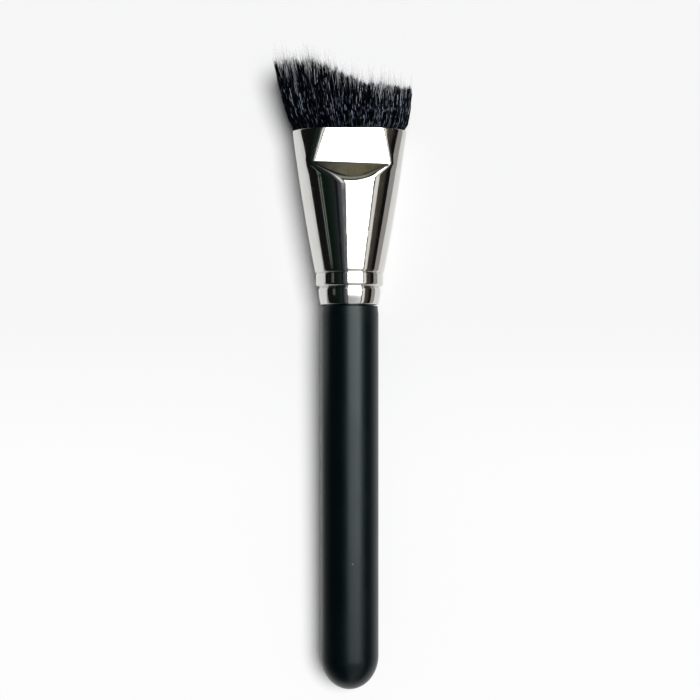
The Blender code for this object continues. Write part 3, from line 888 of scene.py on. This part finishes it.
# The dim ceiling past the window, straight ahead of the fibre tips
CEILING = [
    (-30, 0.010),
    (1.5, (0.012, 0.012, 0.010)),
    (2.2, (0.022, 0.022, 0.019)),
    (3.5, (0.075, 0.075, 0.070)),
    (4.6, (0.125, 0.124, 0.105)),
    (6.3, (0.178, 0.170, 0.125)),
    (9, (0.188, 0.168, 0.098)),
    (11, (0.160, 0.150, 0.085)),
    (12.2, (0.120, 0.112, 0.062)),
    (13.2, (0.036, 0.034, 0.018)),
    (14.2, (0.062, 0.060, 0.045)),
    (20, (0.066, 0.060, 0.052)),
    (35, (0.065, 0.058, 0.050)),
    (60, (0.020, 0.018, 0.015)),
]


def background(tree, colour, strength=1.0):
    """The output of a Background shader."""
    return add_node(tree, "ShaderNodeBackground", {"Color": colour, "Strength": strength}).outputs[0]


def make_surroundings(settings):
    """A studio round the brush: a large framed window above it on the right, a darker room on the left."""
    world = bpy.data.worlds.new("studio")
    world.use_nodes = True
    world.cycles.sampling_method = "NONE"
    tree = world.node_tree
    tree.nodes.clear()
    toward = add_node(tree, "ShaderNodeTexCoord").outputs["Generated"]
    across, along, up = add_node(tree, "ShaderNodeSeparateXYZ", {0: toward}).outputs
    turn = compute("DEGREES", compute("ARCTAN2", across, up))
    tilt = compute("DEGREES", compute("ARCSINE", along))

    # How far a direction lies past the pane's edges: its frame is from 1 to 4, and a strip from 5 to 14
    sides = greater(times(minus(PANE_LEFT, turn), 1.6), minus(turn, PANE_RIGHT))
    top = greater(times(minus(tilt, PANE_TOP), 0.30), minus(times(tilt, 0.6), 21.9))
    past = greater(sides, top)
    pane = remap(past, 0.0, 0.8, 1.0, 0.0)
    framed = times(remap(past, 0.0, 0.8), remap(past, 4.0, 4.8, 1.0, 0.0))

    # The strip is bright, but dimmer at the pane's top and low on its left, and ends beside the pane's top
    strip = times(remap(past, 4.2, 5.0), remap(past, 13.2, 14.4, 1.0, 0.0))
    on_top = compute("GREATER_THAN", top, sides)
    aside = remap(compute("ABSOLUTE", turn), 16.0, 30.0)
    strip = times(strip, minus(1.0, times(on_top, aside)))
    low_left = times(remap(turn, -5.0, 0.0, 1.0, 0.0), remap(tilt, 5.0, 9.0, 1.0, 0.0))
    strip_light = mix_colours(low_left, (0.95, 0.93, 0.88, 1.0), (0.16, 0.165, 0.18, 1.0))
    strip_light = mix_colours(on_top, strip_light, (0.30, 0.31, 0.25, 1.0))

    high = remap(tilt, 62.0, 66.0)
    room = mix_colours(high, ramp(turn, ROOM_ACROSS), ramp(turn, CEILING))
    low = times(remap(tilt, 7.5, 9.5, 1.0, 0.0), remap(tilt, -11.0, -8.0))
    room = mix_colours(low, room, ramp(turn, GLEAMS), "ADD")
    room = mix_colours(framed, room, (0.06, 0.058, 0.054, 1.0))
    room = mix_colours(strip, room, strip_light)
    window = mix_colours(1.0, ramp(turn, PANE_ACROSS), ramp(tilt, PANE_ALONG), "MULTIPLY")
    window = background(tree, window, settings.window_strength)
    mirrored = mix_shaders(pane, background(tree, room), window)

    # Matt surfaces get a plain dim light from all round, and the camera sees a plain backdrop
    path = add_node(tree, "ShaderNodeLightPath").outputs
    thrown = compute("MINIMUM", path["Diffuse Depth"], 1.0)
    lit = mix_shaders(thrown, mirrored, background(tree, rgba(1.0), settings.ambient))
    backdrop = background(tree, rgba(settings.backdrop_colour))
    add_node(tree, "ShaderNodeOutputWorld", {"Surface": mix_shaders(path["Is Camera Ray"], lit, backdrop)})
    bpy.context.scene.world = world


def make_window_light(settings):
    """The window's soft light on everything matt; metal and lacquer mirror the window itself instead."""
    light = bpy.data.lights.new("window_light", "SUN")
    light.energy = settings.light_strength
    light.angle = LAMP_WIDTH
    lamp = add_object("window_light", light)
    lamp.visible_glossy = False
    toward = Vector((math.sin(LAMP_SIDE), math.tan(LAMP_AHEAD), math.cos(LAMP_SIDE)))
    lamp.rotation_mode = "QUATERNION"
    lamp.rotation_quaternion = toward.to_track_quat("Z", "Y")
    lamp.location = toward


def make_floor(settings):
    """A pale table top that carries the ferrule's shoulder and the end of the handle."""
    rest = AXIS.y + SHOULDER_HEIGHT
    end = AXIS.y - HANDLE_LENGTH + HANDLE_END_DEPTH
    slope = (AXIS.z - HANDLE_RADIUS) / (rest - end)
    half = settings.floor_size / 2
    corners = ((-half, -half), (half, -half), (half, half), (-half, half))
    mesh = bpy.data.meshes.new("table_top")
    mesh.from_pydata([(x, y, (rest - y) * slope) for x, y in corners], [], [(0, 1, 2, 3)])
    material, tree, shader, place = new_material("pale_table_top")
    tint = settings.floor_colour
    across, along, _ = add_node(tree, "ShaderNodeSeparateXYZ", {0: place}).outputs
    # Painted shade: the table top is painted a little darker towards the fibre tips and full towards the end
    # of the handle, with some random unevenness
    nearer = remap(along, 0.03, -0.035, smooth=True)
    shade = minus(nearer, times(noise(place, 9.0, detail=2.0), 0.15), clamp=True)
    table = mix_colours(shade, tinted(tint, 0.94), rgba(tint))

    # Painted reflections: only as seen in glossy reflections, the table top is painted duller far to the
    # left, dark on the left of the handle, and grey past the table's right edge
    glossy = add_node(tree, "ShaderNodeLightPath").outputs["Is Glossy Ray"]
    far = times(remap(across, *FAR_LEFT), glossy)
    table = mix_colours(far, table, tinted(tint, 0.8))
    beside = times(remap(across, *LEFT_OF_HANDLE), times(remap(along, *BESIDE_HANDLE), glossy))
    table = mix_colours(beside, table, tinted(tint, 0.28))
    edge = settings.mirrored_edge
    past = times(remap(across, edge - 0.002, edge + 0.002), glossy)
    fill(shader.inputs, {
        "Base Color": mix_colours(past, table, (0.36, 0.35, 0.34, 1.0)),
        "Roughness": 1.0,
        "Specular IOR Level": 0.0,
    })

    # From below, the table top is clear
    clear = add_node(tree, "ShaderNodeBsdfTransparent").outputs[0]
    below = add_node(tree, "ShaderNodeNewGeometry").outputs["Backfacing"]
    output = next(node for node in tree.nodes if node.type == "OUTPUT_MATERIAL")
    fill(output.inputs, {"Surface": mix_shaders(below, shader.outputs[0], clear)})
    mesh.materials.append(material)
    floor = add_object("table_top", mesh)


def make_camera():
    """Straight above the brush, as far away as the photograph was taken from."""
    data = bpy.data.cameras.new("camera")
    data.sensor_width = SENSOR_WIDTH
    data.lens = SENSOR_WIDTH * VIEW_HEIGHT / VIEW_WIDTH
    data.clip_start = 0.01
    camera = add_object("camera", data)
    camera.location = AXIS + Vector((*VIEW_SHIFT, VIEW_HEIGHT))
    bpy.context.scene.camera = camera


# Settings


def length_setting(name, default, description, largest=0.2):
    return bpy.props.FloatProperty(
        name=name, default=default, description=description, unit="LENGTH", min=0.0, max=largest, precision=5
    )


def colour_setting(name, default, description):
    return bpy.props.FloatVectorProperty(
        name=name, default=default, description=description, subtype="COLOR", size=3, min=0.0, max=1.0
    )


def share_setting(name, default, description, largest=1.0):
    return bpy.props.FloatProperty(name=name, default=default, description=description, min=0.0, max=largest)


def count_setting(name, default, description, least, largest):
    return bpy.props.IntProperty(name=name, default=default, description=description, min=least, max=largest)


class BrushHandleSettings(bpy.types.PropertyGroup):
    """Finish of the handle."""

    colour: colour_setting("Lacquer", (0.0004, 0.0018, 0.0023), "Colour of the lacquer")
    roughness: share_setting("Roughness", 0.30, "How satin the lacquer is")
    sides: count_setting("Sides", 192, "Facets round the handle", 12, 512)


class BrushFerruleSettings(bpy.types.PropertyGroup):
    """Finish of the ferrule and of the resins in it."""

    colour: colour_setting("Plating", (0.67, 0.665, 0.645), "Colour of the polished plating")
    roughness: share_setting("Roughness", 0.06, "How dull the polish is")
    quarter: count_setting("Columns", 96, "Columns of facets in a quarter of the ferrule", 12, 120)
    glue_colour: colour_setting("Glue", (0.62, 0.50, 0.30), "Colour of the glue round the tenon")
    epoxy_colour: colour_setting("Epoxy", (0.45, 0.30, 0.12), "Colour of the epoxy round the fibres")


class BrushFibreSettings(bpy.types.PropertyGroup):
    """Number, thickness and lie of one kind of fibre."""

    spacing: length_setting("Spacing", 0.00019, "Distance between neighbouring fibres at the root")
    radius: length_setting("Radius", 0.00008, "Radius of a fibre")
    extra_reach: length_setting("Extra reach", 0.0010, "How far the fibres reach past the cut")
    tuft_size: length_setting("Tuft size", 0.0011, "Width of the tufts that the tips gather into")
    tuft_point: length_setting("Tuft point", 0.0042, "How much shorter a tuft's outer fibres are")
    tuft_scatter: length_setting("Tuft scatter", 0.0022, "How much the tufts' lengths differ")
    tuft_depth: share_setting("Tuft depth", 4.0, "How near the tips the tufts gather; more is nearer", 20.0)
    tuft_lean: length_setting("Tuft lean", 0.00025, "How far a tuft's tip leans to one side")
    tip_scatter: length_setting("Tip scatter", 0.0016, "How much the fibres' lengths differ")
    stray: length_setting("Stray", 0.0004, "How far single tips stray")
    waver: length_setting("Waver", 0.00014, "How far a fibre waves from side to side")
    colour: colour_setting("Colour", (0.0005, 0.0013, 0.0028), "Colour of a fibre at its root")
    tip_colour: colour_setting("Tip colour", (0.0008, 0.0016, 0.0032), "Colour of a fibre at its tip")
    # Painted highlights: the colour of a fibre's paler stretches
    painted_light_streak_colour: colour_setting("Streak colour", (0.37, 0.47, 0.62), "Colour of a fibre's paler stretches")
    streak_share: share_setting("Streak share", 0.13, "How much of a fibre is paler")
    streaks: share_setting("Streaks", 6.0, "How many paler stretches fit along a fibre", 50.0)
    tip_start: share_setting("Tip start", 0.4, "How far along a fibre its tip's colour starts")
    parts: count_setting("Pieces", 3, "Pieces the fibres are made in", 1, 8)


class BrushStageSettings(bpy.types.PropertyGroup):
    """Table top and light."""

    floor_colour: colour_setting("Table top", (0.975, 0.977, 0.977), "Colour of the table top")
    backdrop_colour: colour_setting("Backdrop", (0.92, 0.923, 0.923), "Colour seen past the table top")
    floor_size: length_setting("Table size", 6.0, "Width of the table top", 20.0)
    mirrored_edge: length_setting("Mirrored edge", 0.050, "How far right the table looks pale in the metal")
    window_strength: share_setting("Window", 9.0, "Brightness of the mirrored window", 10.0)
    light_strength: share_setting("Light", 3.06, "Strength of the window's light", 10.0)
    ambient: share_setting("Room light", 0.06, "Brightness of the light that comes from the room all round")


# Operators


class BrushStep(bpy.types.Operator):
    """A step that can be undone."""

    bl_options = {"REGISTER", "UNDO"}


class MakeFinishes(BrushStep):
    """Make the effects that several finishes share: dust, handling marks, cast resin and strand shade"""

    bl_idname = "sculpting_brush.make_finishes"
    bl_label = "Make shared finishes"

    def execute(self, context):
        for make in (make_dust_group, make_scratch_group, make_resin_group, make_strand_group):
            make()
        return {"FINISHED"}


class TurnHandle(BrushStep):
    """Turn the handle with its tenon and lacquer it"""

    bl_idname = "sculpting_brush.turn_handle"
    bl_label = "Turn handle"

    def execute(self, context):
        settings = context.scene.brush_handle
        mesh = rings_mesh("turned_handle", turned_rings(handle_outline(), settings.sides), closed_loop=False)
        mesh.set_sharp_from_angle(angle=SHARP_ANGLE)
        add_piece("turned_handle", mesh, make_lacquer(settings), "handle_lacquer", "handle")
        return {"FINISHED"}


class PressFerrule(BrushStep):
    """Draw the ferrule, press its panels and plate it"""

    bl_idname = "sculpting_brush.press_ferrule"
    bl_label = "Press ferrule"

    def execute(self, context):
        settings = context.scene.brush_ferrule
        mesh = rings_mesh("pressed_ferrule", ferrule_rings(settings.quarter), closed_loop=True)
        add_piece("pressed_ferrule", mesh, make_nickel(settings), "ferrule_metal", "ferrule")
        return {"FINISHED"}


class PourResins(BrushStep):
    """Give the glue round the tenon and the epoxy round the fibres the look of cast resin"""

    bl_idname = "sculpting_brush.pour_resins"
    bl_label = "Pour glue and epoxy"

    def execute(self, context):
        settings = context.scene.brush_ferrule
        for node, colour, cloud_size in (
            ("handle_glue", settings.glue_colour, 420.0),
            ("fibre_epoxy", settings.epoxy_colour, 260.0),
        ):
            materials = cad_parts[node].data.materials
            materials.clear()
            materials.append(make_resin(f"{node}_resin", colour, cloud_size))
        return {"FINISHED"}


class SetBlackFibres(BrushStep):
    """Set the dense black fibres in the mouth of the ferrule"""

    bl_idname = "sculpting_brush.set_black_fibres"
    bl_label = "Set black fibres"

    def execute(self, context):
        settings = context.scene.brush_black_fibres
        chance = np.random.default_rng(BLACK_SEED)
        x, z = fibre_roots(settings.spacing, settings.radius * 1.5, chance)
        paths = fibre_paths(x, z, cut_reach(x, z) + settings.extra_reach, settings, chance)
        material = make_fibre_material("black_fibre", settings, 0.36, {"Specular IOR Level": 0.02})
        order = chance.permutation(len(paths))
        for number, part in enumerate(np.array_split(order, settings.parts), start=1):
            mesh = strands_mesh(f"black_strands_{number}", paths[part], settings.radius, chance)
            add_piece(f"black_strands_{number}", mesh, material, "black_fibre", "black_fibres")
        return {"FINISHED"}


class SetWhiteFibres(BrushStep):
    """Set the longer, sparse white fibres among the black ones"""

    bl_idname = "sculpting_brush.set_white_fibres"
    bl_label = "Set white fibres"

    def execute(self, context):
        settings = context.scene.brush_white_fibres
        chance = np.random.default_rng(WHITE_SEED)
        x, z = fibre_roots(settings.spacing, settings.radius * 2, chance)
        fringe = chance.random(len(x)) < FRINGE_SHARE
        share = chance.uniform(0.0, 1.0, len(x))
        extra = np.where(fringe, between(FRINGE_START, 1.0, share**1.5), share * FRINGE_START)
        paths = fibre_paths(x, z, cut_reach(x, z) + extra * settings.extra_reach, settings, chance)
        for name, finish, chosen, alpha in (
            ("white_strands", "white_fibre", ~fringe, 1.0),
            ("white_fringe", "white_fringe", fringe, FRINGE_ALPHA),
        ):
            fixed = {"Specular IOR Level": 0.1, "Alpha": alpha}
            material = make_fibre_material(finish, settings, 0.40, fixed)
            mesh = strands_mesh(name, paths[chosen], settings.radius, chance)
            add_piece(name, mesh, material, "white_fibre", "white_fibres")
        return {"FINISHED"}


class SetStage(BrushStep):
    """Set up the table top, the surroundings, the light and the camera"""

    bl_idname = "sculpting_brush.set_stage"
    bl_label = "Set stage"

    def execute(self, context):
        settings = context.scene.brush_stage
        make_floor(settings)
        make_surroundings(settings)
        make_window_light(settings)
        make_camera()
        context.scene.view_settings.view_transform = "Standard"
        return {"FINISHED"}


class BrushPanel(bpy.types.Panel):
    """Lists the steps and their settings"""

    bl_idname = "VIEW3D_PT_sculpting_brush"
    bl_label = "Sculpting brush"
    bl_space_type = "VIEW_3D"
    bl_region_type = "UI"
    bl_category = "Brush"

    def draw(self, context):
        for step, group in STEPS.items():
            box = self.layout.box()
            box.operator(step.bl_idname)
            if group:
                settings = getattr(context.scene, group)
                for name in settings.bl_rna.properties.keys():
                    if name not in {"rna_type", "name"}:
                        box.prop(settings, name)


SETTINGS = {
    "brush_handle": BrushHandleSettings,
    "brush_ferrule": BrushFerruleSettings,
    "brush_black_fibres": BrushFibreSettings,
    "brush_white_fibres": BrushFibreSettings,
    "brush_stage": BrushStageSettings,
}
STEPS = {
    MakeFinishes: None,
    TurnHandle: "brush_handle",
    PressFerrule: "brush_ferrule",
    PourResins: None,
    SetBlackFibres: "brush_black_fibres",
    SetWhiteFibres: "brush_white_fibres",
    SetStage: "brush_stage",
}
CLASSES = (*dict.fromkeys(SETTINGS.values()), *STEPS, BrushPanel)
WHITE_FIBRES = {
    "spacing": 0.00038,
    "radius": 0.000080,
    "extra_reach": 0.0063,
    "tuft_size": 0.0016,
    "tuft_point": 0.0012,
    "tip_scatter": 0.0018,
    "stray": 0.0006,
    "waver": 0.00022,
    # Painted shade: the white fibres are painted dark below their tips, where they lie among the black
    # fibres, and their paler stretches are painted light
    "colour": (0.018, 0.024, 0.034),
    "tip_colour": (0.94, 0.955, 0.97),
    "painted_light_streak_colour": (0.37, 0.42, 0.51),
    "streak_share": 0.30,
    "streaks": 7.0,
    "tip_start": 0.75,
    "parts": 1,
}


def register():
    for part in CLASSES:
        bpy.utils.register_class(part)
    for name, group in SETTINGS.items():
        setattr(bpy.types.Scene, name, bpy.props.PointerProperty(type=group))


def unregister():
    for name in SETTINGS:
        delattr(bpy.types.Scene, name)
    for part in reversed(CLASSES):
        bpy.utils.unregister_class(part)


def main():
    """Makes the whole brush and its stage."""
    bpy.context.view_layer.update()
    register()
    whites = bpy.context.scene.brush_white_fibres
    for name, value in WHITE_FIBRES.items():
        setattr(whites, name, value)
    bpy.ops.sculpting_brush.make_finishes()
    bpy.ops.sculpting_brush.turn_handle()
    bpy.ops.sculpting_brush.press_ferrule()
    bpy.ops.sculpting_brush.pour_resins()
    bpy.ops.sculpting_brush.set_black_fibres()
    bpy.ops.sculpting_brush.set_white_fibres()
    bpy.ops.sculpting_brush.set_stage()


if __name__ == "__main__":
    main()
